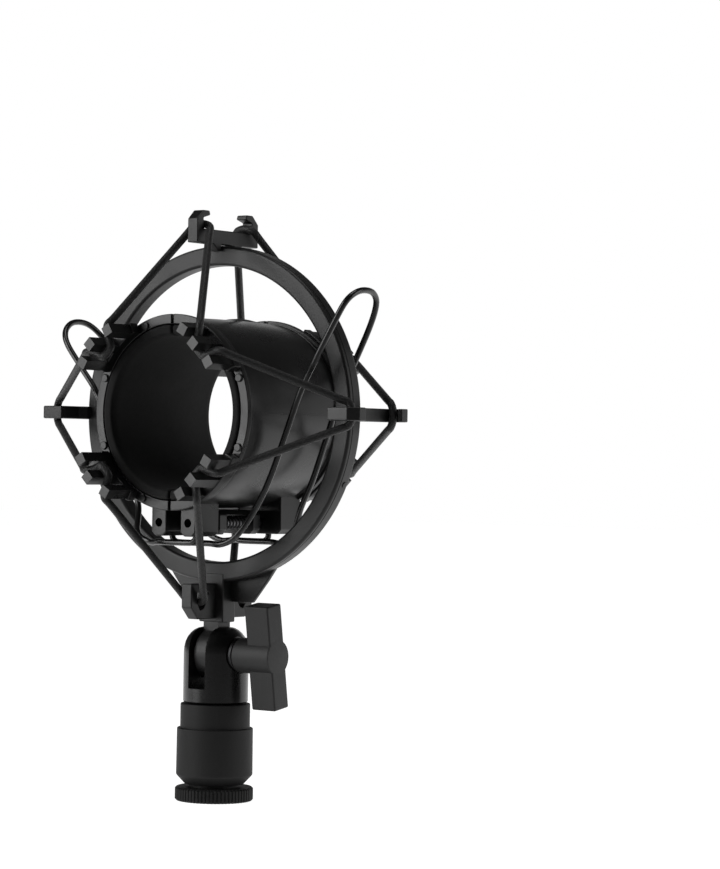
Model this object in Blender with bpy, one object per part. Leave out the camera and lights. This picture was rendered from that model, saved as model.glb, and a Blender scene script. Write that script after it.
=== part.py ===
"""Microphone shock mount: a spring clamp sleeve hung on two elastic loops inside a ring, with a swivel stand adapter.

Metres, +Z up. The origin is on the stand axis in the adapter's bottom face. The sleeve's bore runs along Y, front
end towards -Y. The driving dimensions below are in millimetres.
"""
import math

import bmesh
import bpy
from mathutils import Matrix, Vector

MM = 0.001
GAP = 0.3  # left between pieces that touch

# heights on the stand axis
RING_Z = 114.0  # ring and sleeve centre
PIVOT_Z = 43.2  # tilt pivot

# outer ring
RING_OUTER_R = 49.5
RING_INNER_R = 43.7
RING_HALF_DEPTH = 2.8
RING_EDGE = 0.9
RING_STEPS = 60

# hook bars across the rim
BAR_HALF_LENGTH = 14.4
BAR_HALF_WIDTH = 1.9
BAR_INNER_R = 49.8
BAR_OUTER_R = 54.0
HOOK_TIP_R = 59.4
HOOK_FACE_R = 56.8
HOOK_START = 11.5

# elastic loops
CORD_R = 1.15
CORD_HOOK_Y = 10.1
CORD_CLEAT_Y = 31.6
CORD_SIDES = 6

# clamp sleeve
SLEEVE_R = 27.6
SLEEVE_BORE_R = 25.6
FLANGE_R = 28.5
SLEEVE_HALF_LENGTH = 23.0
FLANGE_DEPTH = 1.8
SPLIT_HALF_GAP = 0.35
LINING_OUTER_R = 25.3
LINING_INNER_R = 22.2
SLEEVE_STEPS = 20
HOLE_SIDES = 12
ROUND_SIDES = 32

# cord cleats
CLEAT_INNER_R = 25.7
CLEAT_OUTER_R = 29.0
CLEAT_HALF_ANGLE = 18.5
CLEAT_BACK_Y = 23.3
CLEAT_FRONT_Y = 26.4
PRONG_TIP_Y = 37.2  # the middle prong's
OUTER_TIP_Y = 35.6
PRONG_SIZE = 3.0
PRONG_R = 27.2
PRONG_SPREAD = 14.0
CLEAT_ANGLES = {"upper_right": 45.0, "lower_right": -45.0, "upper_left": 135.0, "lower_left": -135.0}

# hinge under the sleeve
HINGE_X = 5.4
HINGE_Z = RING_Z - 32.0
LUG_HALF_WIDTH = 2.75
LUG_TOP_Z = RING_Z - 26.2
# near and far end along Y, outer side, bottom, and the top at the outer side
LUGS = {"front": (-10.0, -21.0, 8.15, RING_Z - 35.9, RING_Z - 25.9),
        "rear": (13.0, 22.6, 13.2, RING_Z - 35.4, RING_Z - 23.2)}
PIN_R = 1.0
PIN_HALF_LENGTH = 18.0
PIN_HOLE_R = 1.3
BLOCK_HALF_LENGTH = 9.6

# wire handles: the right one stands a little higher than the left one
WIRE_R = 0.9
RIGHT_REACH = [(26.4, 10.4, -18.4), (31.8, 10.1, -6.5), (36.6, 9.8, 5.7), (41.0, 9.6, 13.9), (47.4, 8.9, 25.4),
               (50.6, 7.5, 31.8), (52.0, 4.3, 34.7), (52.4, 0.0, 35.5)]
LEFT_REACH = [(27.2, 10.4, -18.4), (33.4, 10.2, -6.5), (39.2, 10.0, 5.2), (46.0, 9.9, 13.5), (51.8, 9.7, 20.4),
              (54.4, 8.0, 24.4), (55.6, 4.4, 27.1), (55.9, 0.0, 27.9)]
WIRE_SOCKET_R = 1.2

# swivel
SLOT_HALF_WIDTH = 3.1
TONGUE_HALF_WIDTH = 2.75
TONGUE_R = 7.4
NECK_HALF_WIDTH = 4.5
NECK_START = 9.4  # above the pivot
YOKE_R = 9.6
YOKE_TOP_Z = 51.2
YOKE_SLOT_FLOOR_Z = 33.2
YOKE_BOTTOM_Z = 28.9
BARREL_R = 11.2
BARREL_BOTTOM_Z = 4.9
COLLAR_R = 10.3
COLLAR_BOTTOM_Z = 21.3
SOCKET_R = 8.1
ADAPTER_R = 11.55
ADAPTER_BODY_R = 7.8
ADAPTER_BORE_R = 4.76
ADAPTER_FLANGE = 4.0
ADAPTER_TOP_Z = 15.0
KNURL_RIBS = 28
BOLT_R = 2.0
BOLT_HOLE_R = 2.3

# clamp lever
LEVER_TILT = 8.6  # degrees about X
HUB_R = 5.2
HUB_START_X = 10.6
PADDLE_X = (14.4, 23.0)
PADDLE_HALF_DEPTH = 3.35
PADDLE_HALF_HEIGHT = 15.4


# ---------------------------------------------------------------- helpers
def clear_scene():
    for thing in list(bpy.data.objects):
        bpy.data.objects.remove(thing, do_unlink=True)


def make_material(name, color, roughness, metallic=0.0):
    material = bpy.data.materials.new(name)
    material.use_nodes = True
    shader = material.node_tree.nodes["Principled BSDF"]
    shader.inputs["Base Color"].default_value = (*color, 1.0)
    shader.inputs["Roughness"].default_value = roughness
    shader.inputs["Metallic"].default_value = metallic
    return material


def polar(radius, degrees, y=0.0):
    """A point at a radius and an angle about the sleeve's axis, counted from +X towards +Z."""
    angle = math.radians(degrees)
    return Vector((radius * math.cos(angle), y, radius * math.sin(angle)))


def mesh_object(name, verts, faces, material, origin=(0.0, 0.0, 0.0)):
    """An object from points and faces in millimetres, with its origin at the given place."""
    base = Vector(origin)
    mesh = bpy.data.meshes.new(name)
    mesh.from_pydata([(Vector(v) - base) * MM for v in verts], [], faces)
    body = bmesh.new()
    body.from_mesh(mesh)
    bmesh.ops.recalc_face_normals(body, faces=body.faces)
    body.to_mesh(mesh)
    body.free()
    mesh.materials.append(material)
    mesh.shade_smooth()
    mesh.set_sharp_from_angle(angle=math.radians(32))
    made = bpy.data.objects.new(name, mesh)
    made.location = base * MM
    bpy.context.scene.collection.objects.link(made)
    return made


def loft(rings, closed=False):
    """Points and faces of a solid through equal rings of points; capped at both ends unless closed."""
    count = len(rings[0])
    verts = [point for ring in rings for point in ring]
    faces = []
    last = len(rings) if closed else len(rings) - 1
    for row in range(last):
        a = row * count
        b = (row + 1) % len(rings) * count
        for i in range(count):
            j = (i + 1) % count
            faces.append((a + i, a + j, b + j, b + i))
    if not closed:
        faces.append(tuple(range(count)))
        faces.append(tuple(range(last * count, last * count + count)))
    return verts, faces


def prism(outline, axis, low, high):
    """A flat outline extruded along X, Y or Z; the outline's two numbers are the other two axes in order."""
    rings = []
    for level in (low, high):
        ring = []
        for a, b in outline:
            point = [a, b]
            point.insert("XYZ".index(axis), level)
            ring.append(Vector(point))
        rings.append(ring)
    return loft(rings)


def turned(profile, start, stop, steps, axis="Y", center=(0.0, 0.0, 0.0)):
    """A closed (radius, height) profile turned about Y, Z or X, a full turn or part of one, in degrees."""
    whole = abs(stop - start) >= 360.0
    rings = []
    for i in range(steps if whole else steps + 1):
        angle = math.radians(start + (stop - start) * i / steps)
        ring = []
        for radius, height in profile:
            across = radius * math.cos(angle)
            up = radius * math.sin(angle)
            if axis == "Y":
                point = Vector((across, height, up))
            elif axis == "X":
                point = Vector((height, across, up))
            else:
                point = Vector((across, up, height))
            ring.append(point + Vector(center))
        rings.append(ring)
    return loft(rings, closed=whole)


def rod(profile, steps, axis, center):
    """A solid turned shape whose profile runs (radius, height) from end to end and is capped flat."""
    rings = []
    for radius, height in profile:
        ring = []
        for i in range(steps):
            angle = math.tau * i / steps
            across = radius * math.cos(angle)
            up = radius * math.sin(angle)
            if axis == "Y":
                point = Vector((across, height, up))
            elif axis == "X":
                point = Vector((height, across, up))
            else:
                point = Vector((across, up, height))
            ring.append(point + Vector(center))
        rings.append(ring)
    return loft(rings)


def tube(route, radius, sides, closed=False):
    """A round tube along a list of points, with a frame carried along so that it doesn't twist."""
    count = len(route)
    directions = []
    for i in range(count):
        before = route[i - 1] if (i > 0 or closed) else route[i]
        after = route[(i + 1) % count] if (i < count - 1 or closed) else route[i]
        directions.append((after - before).normalized())
    normal = directions[0].orthogonal().normalized()
    rings = []
    for point, direction in zip(route, directions):
        normal = (normal - direction * normal.dot(direction)).normalized()
        side = direction.cross(normal)
        turn = [math.tau * k / sides for k in range(sides)]
        rings.append([point + (normal * math.cos(t) + side * math.sin(t)) * radius for t in turn])
    if closed:
        rings[-1], twist = rings[-1], 0.0
        first = directions[0]
        carried = (normal - first * normal.dot(first)).normalized()
        start = (rings[0][0] - route[0]).normalized()
        twist = math.atan2(carried.cross(start).dot(first), carried.dot(start))
        for i, point in enumerate(route):
            spin = Matrix.Rotation(twist * i / count, 3, directions[i])
            rings[i] = [point + spin @ (corner - point) for corner in rings[i]]
    return loft(rings, closed=closed)


def smooth_route(points, per_span, closed=False):
    """Points of a Catmull-Rom curve through the given ones."""
    count = len(points)
    spans = count if closed else count - 1
    route = []
    for i in range(spans):
        if closed:
            a, b, c, d = (points[(i + k) % count] for k in (-1, 0, 1, 2))
        else:
            b = points[i]
            c = points[i + 1]
            a = points[i - 1] if i > 0 else b * 2 - c
            d = points[i + 2] if i + 2 < count else c * 2 - b
        steps = per_span(b, c) if callable(per_span) else per_span
        for k in range(steps):
            t = k / steps
            route.append(0.5 * (2 * b + (c - a) * t + (2 * a - 5 * b + 4 * c - d) * t * t
                                + (3 * b - a - 3 * c + d) * t ** 3))
    if not closed:
        route.append(points[-1])
    return route


def combine(target, other, operation):
    """A Boolean of another object on the target; the other is kept as a wire guide."""
    other.hide_render = True
    other.display_type = "WIRE"
    step = target.modifiers.new(other.name, "BOOLEAN")
    step.operation = operation
    step.solver = "EXACT"
    step.object = other


def cut(target, name, shape):
    combine(target, mesh_object("cut_" + name, *shape, target.data.materials[0]), "DIFFERENCE")


def join(target, name, shape):
    combine(target, mesh_object("add_" + name, *shape, target.data.materials[0]), "UNION")


def box(low, high):
    outline = [(low[0], low[1]), (high[0], low[1]), (high[0], high[1]), (low[0], high[1])]
    return prism(outline, "Z", low[2], high[2])


def raise_to_ring(shape):
    """Moves a shape made about the ring's centre to its height on the stand axis."""
    verts, faces = shape
    return [Vector(v) + Vector((0.0, 0.0, RING_Z)) for v in verts], faces


def turn_about_y(shape, degrees):
    verts, faces = shape
    spin = Matrix.Rotation(math.radians(-degrees), 3, "Y")
    return [spin @ Vector(v) for v in verts], faces


# ---------------------------------------------------------------- ring and hooks
def rounded_ring_profile():
    d = RING_HALF_DEPTH
    e = RING_EDGE
    low = RING_INNER_R
    high = RING_OUTER_R
    return [(low + e, -d), (high - e, -d), (high, -d + e), (high, d - e),
            (high - e, d), (low + e, d), (low, d - e), (low, -d + e)]


def make_outer_ring(plastic):
    pivot = (0.0, 0.0, PIVOT_Z)
    ring = mesh_object("outer_ring", *raise_to_ring(turned(rounded_ring_profile(), 0.0, 360.0, RING_STEPS)),
                       plastic, origin=pivot)
    # lower hook bracket: a plate in the YZ plane with chamfered lower corners
    foot = RING_Z - 60.3
    top = RING_Z - 46.0
    under_ring = RING_Z - 49.9
    end = BAR_HALF_LENGTH
    bracket = [(-RING_HALF_DEPTH + 0.6, top), (-RING_HALF_DEPTH + 0.6, under_ring), (-end, under_ring),
               (-end, foot + 3.4), (-end + 3.2, foot), (end - 3.2, foot), (end, foot + 3.4),
               (end, under_ring), (RING_HALF_DEPTH - 0.6, under_ring), (RING_HALF_DEPTH - 0.6, top)]
    join(ring, "hook_bracket", prism(bracket, "X", -BAR_HALF_WIDTH, BAR_HALF_WIDTH))
    # gusset in the XZ plane, along the ring's rear, that spreads the load into the ring
    gusset = [(-20.5, RING_Z - 44.7), (-12.0, RING_Z - 55.4), (12.0, RING_Z - 55.4), (20.5, RING_Z - 44.7),
              (0.0, RING_Z - 46.3)]
    join(ring, "gusset", prism(gusset, "Y", 1.4, 2.75))
    # neck, wider above the yoke than the round clamp tongue below it
    neck_half = 2.95
    join(ring, "neck", box((-NECK_HALF_WIDTH, -neck_half, PIVOT_Z + NECK_START),
                           (NECK_HALF_WIDTH, neck_half, RING_Z - 47.0)))
    join(ring, "stem", box((-TONGUE_HALF_WIDTH, -neck_half + 0.15, PIVOT_Z),
                           (TONGUE_HALF_WIDTH, neck_half - 0.15, PIVOT_Z + NECK_START + 1.0)))
    join(ring, "tongue", rod([(TONGUE_R, -TONGUE_HALF_WIDTH + 0.01), (TONGUE_R, TONGUE_HALF_WIDTH - 0.01)],
                             28, "X", pivot))
    cut(ring, "bolt_hole", rod([(BOLT_HOLE_R, -6.0), (BOLT_HOLE_R, 6.0)], 20, "X", pivot))
    # windows that the elastic loops pass through
    for side in (-1.0, 1.0):
        window = [(side * 6.2, RING_Z - 52.4), (side * HOOK_START, RING_Z - 52.4),
                  (side * HOOK_START, RING_Z - 55.4), (side * 10.1, RING_Z - 57.6), (side * 8.4, RING_Z - 57.0)]
        label = "front" if side < 0 else "rear"
        cut(ring, "window_" + label, prism(window, "X", -4.0, 4.0))
    return ring


def make_hook_bar(place, degrees, plastic):
    """A bar across the rim with an undercut hook block at each end."""
    end = BAR_HALF_LENGTH
    half = []
    half.append((HOOK_START - 4.6, BAR_OUTER_R))
    half.append((HOOK_START - 0.2, BAR_OUTER_R))
    half.append((HOOK_START, BAR_OUTER_R + 3.2))
    half.append((HOOK_START - 3.1, HOOK_TIP_R - 1.3))
    half.append((HOOK_START - 2.7, HOOK_TIP_R))
    half.append((HOOK_START + 0.2, HOOK_TIP_R))
    half.append((end, HOOK_FACE_R))
    half.append((end, BAR_INNER_R))
    outline = [(r, y) for y, r in half] + [(r, -y) for y, r in reversed(half)]
    shape = prism(outline, "Z", -BAR_HALF_WIDTH, BAR_HALF_WIDTH)
    return mesh_object("hook_bar_" + place, *raise_to_ring(turn_about_y(shape, degrees)), plastic)


def cord_quadrant(start, side):
    """Route points of one quarter of an elastic loop, from just past one ring hook to the next."""
    middle = start + 45.0
    wrap_r = BAR_OUTER_R + CORD_R + 0.2
    hook = [(wrap_r, 43.8, CORD_HOOK_Y), (wrap_r - 0.9, 41.5, CORD_HOOK_Y + 0.35)]
    bend = [(30.3, 10.3, CORD_CLEAT_Y), (27.3, 7.1, CORD_CLEAT_Y), (24.6, 5.0, CORD_CLEAT_Y)]
    half = [polar(radius, offset, side * y) for radius, offset, y in hook]
    inner = [polar(radius, offset, side * y) for radius, offset, y in bend]
    half += [half[1].lerp(inner[0], share) for share in (0.1, 0.5, 0.9)] + inner
    first = [turn_point(point.x, -point.z, point.y, middle) for point in half]
    second = [turn_point(point.x, point.z, point.y, middle) for point in reversed(half)]
    return first + [polar(24.2, middle, side * CORD_CLEAT_Y)] + second


def turn_point(along, across, y, degrees):
    """A point given along and across a direction in the ring's plane."""
    angle = math.radians(degrees)
    return Vector((along * math.cos(angle) - across * math.sin(angle), y,
                   along * math.sin(angle) + across * math.cos(angle)))


def make_elastic(place, side, rubber):
    """A closed loop over the four ring hooks and round the middle prongs of the four cleats."""
    points = []
    for start in (90.0, 0.0, -90.0, -180.0):
        points.extend(reversed(cord_quadrant(start, side)))
    route = smooth_route(points, lambda a, b: 2 if (b - a).length < 8.0 else 1, closed=True)
    return mesh_object("elastic_" + place, *raise_to_ring(tube(route, CORD_R, CORD_SIDES, closed=True)), rubber)


# ---------------------------------------------------------------- clamp sleeve
def sleeve_profile():
    low = SLEEVE_BORE_R
    end = SLEEVE_HALF_LENGTH
    inner = end - FLANGE_DEPTH
    return [(low, -end), (FLANGE_R - 0.4, -end), (FLANGE_R, -end + 0.4), (FLANGE_R, -inner),
            (SLEEVE_R - 0.3, -inner + 0.5), (SLEEVE_R, -inner + 3.0), (SLEEVE_R + 0.25, 0.0),
            (SLEEVE_R, inner - 3.0), (SLEEVE_R - 0.3, inner - 0.5), (FLANGE_R, inner),
            (FLANGE_R, end - 0.4), (FLANGE_R - 0.4, end), (low, end)]


def make_shell(place, hand, wire_socket_y, plastic):
    """Half of the sleeve with two hinge lugs; hand is 1 for the right half and -1 for the left."""
    lap = math.degrees(math.asin(SPLIT_HALF_GAP / SLEEVE_R))
    start = -90.0 + lap if hand > 0 else 90.0 + lap
    shell = mesh_object("shell_" + place,
                        *raise_to_ring(turned(sleeve_profile(), start, start + 180.0 - 2.0 * lap, SLEEVE_STEPS)),
                        plastic, origin=(hand * HINGE_X, 0.0, HINGE_Z))
    inner_x = HINGE_X - LUG_HALF_WIDTH
    chamfer = 1.3
    for label, side in (("front", -1.0), ("rear", 1.0)):
        near, far, outer_x, bottom, outer_top = LUGS[label]
        outline = [(hand * inner_x, LUG_TOP_Z), (hand * inner_x, bottom + chamfer), (hand * (inner_x + chamfer), bottom),
                   (hand * (outer_x - chamfer), bottom), (hand * outer_x, bottom + chamfer),
                   (hand * outer_x, outer_top)]
        join(shell, f"lug_{place}_{label}", prism(outline, "Y", near, far))
        cut(shell, f"pin_hole_{place}_{label}", rod([(PIN_HOLE_R, near - side), (PIN_HOLE_R, far + side)], HOLE_SIDES,
                                                    "Y", (hand * HINGE_X, 0.0, HINGE_Z)))
        # the blind socket holds the end of the opposite handle's wire
        socket = (hand * HINGE_X, side * wire_socket_y, 0.0)
        cut(shell, f"wire_socket_{place}_{label}",
            rod([(WIRE_SOCKET_R, RING_Z - 37.0), (WIRE_SOCKET_R, RING_Z - 33.5)], 10, "Z", socket))
        # round pin bosses on the flange face, beside each cleat
        for degrees in (66.5 + 1.9, 21.6, -21.6, -66.5 - 1.9):
            center = polar(26.9, degrees) + Vector((0.0, 0.0, RING_Z))
            center.x *= hand
            face = side * SLEEVE_HALF_LENGTH
            join(shell, f"boss_{place}_{label}_{degrees:.0f}",
                 rod([(1.2, face - side * 0.5), (1.2, face + side * 0.35), (0.9, face + side * 0.6)], 8, "Y", center))
    return shell


def make_lining(place, hand, rubber):
    lap = math.degrees(math.asin(SPLIT_HALF_GAP / LINING_INNER_R))
    start = -90.0 + lap if hand > 0 else 90.0 + lap
    low = LINING_INNER_R
    high = LINING_OUTER_R
    end = SLEEVE_HALF_LENGTH + 0.3
    profile = [(low + 0.4, -end + 1.3), (low + 1.3, -end + 0.1), (high - 1.0, -end - 0.2), (high, -end + 0.6),
               (high, end - 0.6), (high - 1.0, end + 0.2), (low + 1.3, end - 0.1), (low + 0.4, end - 1.3),
               (low, end - 3.5), (low, -end + 3.5)]
    return mesh_object("lining_" + place,
                       *raise_to_ring(turned(profile, start, start + 180.0 - 2.0 * lap, SLEEVE_STEPS)),
                       rubber, origin=(hand * HINGE_X, 0.0, HINGE_Z))


def make_cleat(place, side, degrees, plastic):
    """An arc block on the sleeve's end with three square prongs that hold the elastic."""
    label = "front" if side < 0 else "rear"
    y_back = side * CLEAT_BACK_Y
    y_front = side * CLEAT_FRONT_Y
    profile = [(CLEAT_INNER_R, y_back), (CLEAT_OUTER_R, y_back), (CLEAT_OUTER_R, y_front - side * 0.4),
               (CLEAT_OUTER_R - 0.4, y_front), (CLEAT_INNER_R, y_front)]
    span = CLEAT_HALF_ANGLE
    shape = raise_to_ring(turned(profile, degrees - span, degrees + span, 8))
    hand = 1.0 if math.cos(math.radians(degrees)) > 0 else -1.0
    cleat = mesh_object(f"cleat_{label}_{place}", *shape, plastic, origin=(hand * HINGE_X, 0.0, HINGE_Z))
    half = PRONG_SIZE / 2.0
    for index, offset in enumerate((-PRONG_SPREAD, 0.0, PRONG_SPREAD)):
        tip_y = OUTER_TIP_Y if offset else PRONG_TIP_Y
        outline = [(PRONG_R - half, -half), (PRONG_R + half, -half), (PRONG_R + half, half), (PRONG_R - half, half)]
        rings = []
        for y, inset in ((y_front - side * 0.6, 0.0), (side * (tip_y - 0.4), 0.0), (side * tip_y, 0.35)):
            ring = []
            for r, t in outline:
                r_in = r - math.copysign(inset, r - PRONG_R)
                t_in = t - math.copysign(inset, t)
                ring.append(Vector((r_in, y, t_in)))
            rings.append(ring)
        prong = raise_to_ring(turn_about_y(loft(rings), degrees + offset))
        join(cleat, f"prong_{label}_{place}_{index}", prong)
    return cleat


# ---------------------------------------------------------------- hinge and handles
def make_hinge_block(plastic):
    """A channel that carries both pins, open in the middle for the springs."""
    half_x = HINGE_X + LUG_HALF_WIDTH
    top = RING_Z - 28.3
    bottom = RING_Z - 35.4
    shoulder = RING_Z - 29.6
    outline = [(-half_x, bottom + 1.4), (-half_x + 1.4, bottom), (half_x - 1.4, bottom), (half_x, bottom + 1.4),
               (half_x, shoulder), (half_x - 2.2, top), (-half_x + 2.2, top), (-half_x, shoulder)]
    block = mesh_object("hinge_block", *prism(outline, "Y", -BLOCK_HALF_LENGTH, BLOCK_HALF_LENGTH), plastic,
                        origin=(0.0, 0.0, HINGE_Z))
    for hand in (-1.0, 1.0):
        cut(block, f"pin_hole_{hand:.0f}",
            rod([(PIN_R + 0.3, -BLOCK_HALF_LENGTH - 1.0), (PIN_R + 0.3, BLOCK_HALF_LENGTH + 1.0)], HOLE_SIDES, "Y",
                (hand * HINGE_X, 0.0, HINGE_Z)))
    cut(block, "spring_pocket", box((-half_x - 1.0, -6.4, bottom - 1.0), (half_x + 1.0, 6.4, top - 1.2)))
    return block


def make_hinge_pin(place, hand, steel):
    end = PIN_HALF_LENGTH
    profile = [(PIN_R - 0.3, -end), (PIN_R, -end + 0.3), (PIN_R, end - 0.3), (PIN_R - 0.3, end)]
    return mesh_object("hinge_pin_" + place, *rod(profile, HOLE_SIDES, "Y", (hand * HINGE_X, 0.0, HINGE_Z)), steel,
                       origin=(hand * HINGE_X, 0.0, HINGE_Z))


def make_torsion_spring(place, hand, steel):
    """A coil round the pin with one leg up against the block and one out against the shell."""
    coil_r = 1.7
    wire = 0.3
    turns = 7
    per_turn = 8
    half = 5.2
    center = Vector((hand * HINGE_X, 0.0, HINGE_Z))
    route = [center + Vector((-hand * 3.2, -half, coil_r)), center + Vector((-hand * 1.2, -half, coil_r))]
    total = turns * per_turn
    for i in range(total + 1):
        angle = math.radians(90.0) - hand * math.tau * i / per_turn
        lift = -half + 2.0 * half * i / total
        route.append(center + Vector((coil_r * math.cos(angle), lift, coil_r * math.sin(angle))))
    route.append(center + Vector((hand * 1.2, half, coil_r)))
    route.append(center + Vector((hand * 2.6, half, coil_r)))
    return mesh_object("torsion_spring_" + place, *tube(route, wire, 5), steel, origin=center)


def make_handle_wire(place, hand, cross_y, reach, steel):
    """A bent wire loop for the fingers; its ends cross under the hinge into the opposite shell's lugs."""
    foot = [(-HINGE_X, cross_y, -34.2), (-HINGE_X, cross_y, -36.4), (-HINGE_X + 1.1, cross_y, -37.5),
            (-2.0, cross_y, -37.8), (8.0, cross_y, -37.8), (12.5, cross_y - 0.6, -37.9), (17.6, cross_y - 1.2, -35.2),
            (21.9, 10.9, -27.0)]
    leg = foot + reach[:-1]
    front = [Vector((hand * x, -y, z)) for x, y, z in leg]
    rear = [Vector((hand * x, y, z)) for x, y, z in reversed(leg)]
    top_x, top_y, top_z = reach[-1]
    route = smooth_route(front + [Vector((hand * top_x, top_y, top_z))] + rear, 2)
    return mesh_object("handle_wire_" + place, *raise_to_ring(tube(route, WIRE_R, 8)), steel,
                       origin=(-hand * HINGE_X, 0.0, HINGE_Z))


# ---------------------------------------------------------------- swivel stand adapter
def make_yoke(plastic):
    """A domed cylinder slotted for the ring's tongue."""
    profile = [(YOKE_R, YOKE_BOTTOM_Z), (YOKE_R, PIVOT_Z + 0.4), (9.0, 46.9), (7.6, 49.2), (5.6, YOKE_TOP_Z - 0.3),
               (3.8, YOKE_TOP_Z)]
    yoke = mesh_object("yoke", *rod(profile, ROUND_SIDES, "Z", (0.0, 0.0, 0.0)), plastic)
    cut(yoke, "yoke_slot", box((-SLOT_HALF_WIDTH, -12.0, YOKE_SLOT_FLOOR_Z), (SLOT_HALF_WIDTH, 12.0, 60.0)))
    cut(yoke, "yoke_bolt_hole", rod([(BOLT_HOLE_R, -12.0), (BOLT_HOLE_R, 12.0)], 20, "X", (0.0, 0.0, PIVOT_Z)))
    cut(yoke, "nut_seat", rod([(4.2, -12.0), (4.2, -7.4)], 24, "X", (0.0, 0.0, PIVOT_Z)))
    cut(yoke, "washer_seat", rod([(5.4, 7.9), (5.4, 12.0)], 28, "X", (0.0, 0.0, PIVOT_Z)))
    return yoke


def make_socket_barrel(plastic):
    """The barrel under the yoke, with a threaded socket from below for the adapter."""
    top = YOKE_BOTTOM_Z - GAP
    profile = [(8.6, BARREL_BOTTOM_Z), (BARREL_R + 0.1, BARREL_BOTTOM_Z + 2.6), (BARREL_R, COLLAR_BOTTOM_Z),
               (COLLAR_R, COLLAR_BOTTOM_Z + 0.05), (COLLAR_R, top - 0.4), (COLLAR_R - 0.4, top)]
    barrel = mesh_object("socket_barrel", *rod(profile, ROUND_SIDES, "Z", (0.0, 0.0, 0.0)), plastic)
    cut(barrel, "socket_bore", rod([(SOCKET_R, 0.0), (SOCKET_R, ADAPTER_TOP_Z + 1.4)], ROUND_SIDES, "Z", (0.0, 0.0, 0.0)))
    return barrel


def make_thread_adapter(plastic):
    """The reducing adapter: a knurled flange below a threaded body, with a smaller threaded bore."""
    rows = []
    knurl_depth = 0.35
    sections = ((0.0, 1.1), (1.0, 0.0), (ADAPTER_FLANGE - 0.5, 0.0), (ADAPTER_FLANGE, 0.5))
    for height, drop in sections:
        ring = []
        for i in range(KNURL_RIBS * 2):
            angle = math.tau * i / (KNURL_RIBS * 2)
            radius = ADAPTER_R - drop - (knurl_depth if i % 2 else 0.0)
            ring.append(Vector((radius * math.cos(angle), radius * math.sin(angle), height)))
        rows.append(ring)
    adapter = mesh_object("thread_adapter", *loft(rows), plastic)
    body = [(ADAPTER_BODY_R, ADAPTER_FLANGE - 0.5), (ADAPTER_BODY_R, ADAPTER_TOP_Z - 0.8),
            (ADAPTER_BODY_R - 0.8, ADAPTER_TOP_Z)]
    join(adapter, "adapter_body", rod(body, ROUND_SIDES, "Z", (0.0, 0.0, 0.0)))
    bore = [(ADAPTER_BORE_R + 0.9, -0.9), (ADAPTER_BORE_R, 0.9), (ADAPTER_BORE_R, ADAPTER_TOP_Z + 1.0)]
    cut(adapter, "adapter_bore", rod(bore, 24, "Z", (0.0, 0.0, 0.0)))
    return adapter


def make_clamp_bolt(steel):
    """The bolt across the yoke, with a hexagon head in the far ear's seat."""
    pivot = (0.0, 0.0, PIVOT_Z)
    bolt = mesh_object("clamp_bolt", *rod([(BOLT_R, -8.0), (BOLT_R, 20.0), (BOLT_R - 0.4, 20.4)], 20, "X", pivot),
                       steel, origin=pivot)
    join(bolt, "bolt_head", rod([(3.5, -9.6), (3.8, -9.2), (3.8, -7.7)], 6, "X", pivot))
    return bolt


def make_hub_washer(steel):
    profile = [(BOLT_HOLE_R + 0.1, 8.2), (5.0, 8.2), (5.0, 9.3), (BOLT_HOLE_R + 0.1, 9.3)]
    return mesh_object("hub_washer", *turned(profile, 0.0, 360.0, 28, "X", (0.0, 0.0, PIVOT_Z)), steel,
                       origin=(0.0, 0.0, PIVOT_Z))


def make_clamp_lever(plastic):
    """A T-shaped lever: a round hub with a long flat paddle across it."""
    pivot = (0.0, 0.0, PIVOT_Z)
    hub = [(HUB_R - 0.3, 9.6), (HUB_R, 9.9), (HUB_R, PADDLE_X[1] - 0.2), (HUB_R - 0.3, PADDLE_X[1] + 0.1)]
    lever = mesh_object("clamp_lever", *rod(hub, ROUND_SIDES, "X", (0.0, 0.0, 0.0)), plastic)
    paddle = box((PADDLE_X[0], -PADDLE_HALF_DEPTH, -PADDLE_HALF_HEIGHT),
                 (PADDLE_X[1], PADDLE_HALF_DEPTH, PADDLE_HALF_HEIGHT))
    join(lever, "paddle", paddle)
    cut(lever, "insert_hole", rod([(3.3, 9.0), (3.3, 21.4)], 24, "X", (0.0, 0.0, 0.0)))
    turn = Matrix.Rotation(math.radians(LEVER_TILT), 4, "X")
    for piece in (lever, bpy.data.objects["add_paddle"], bpy.data.objects["cut_insert_hole"]):
        piece.matrix_world = Matrix.Translation(Vector(pivot) * MM) @ turn
    return lever


def make_lever_insert(brass):
    profile = [(BOLT_HOLE_R, 9.9), (3.0, 9.9), (3.0, 21.0), (BOLT_HOLE_R, 21.0)]
    return mesh_object("lever_insert", *turned(profile, 0.0, 360.0, 24, "X", (0.0, 0.0, PIVOT_Z)), brass,
                       origin=(0.0, 0.0, PIVOT_Z))


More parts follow.
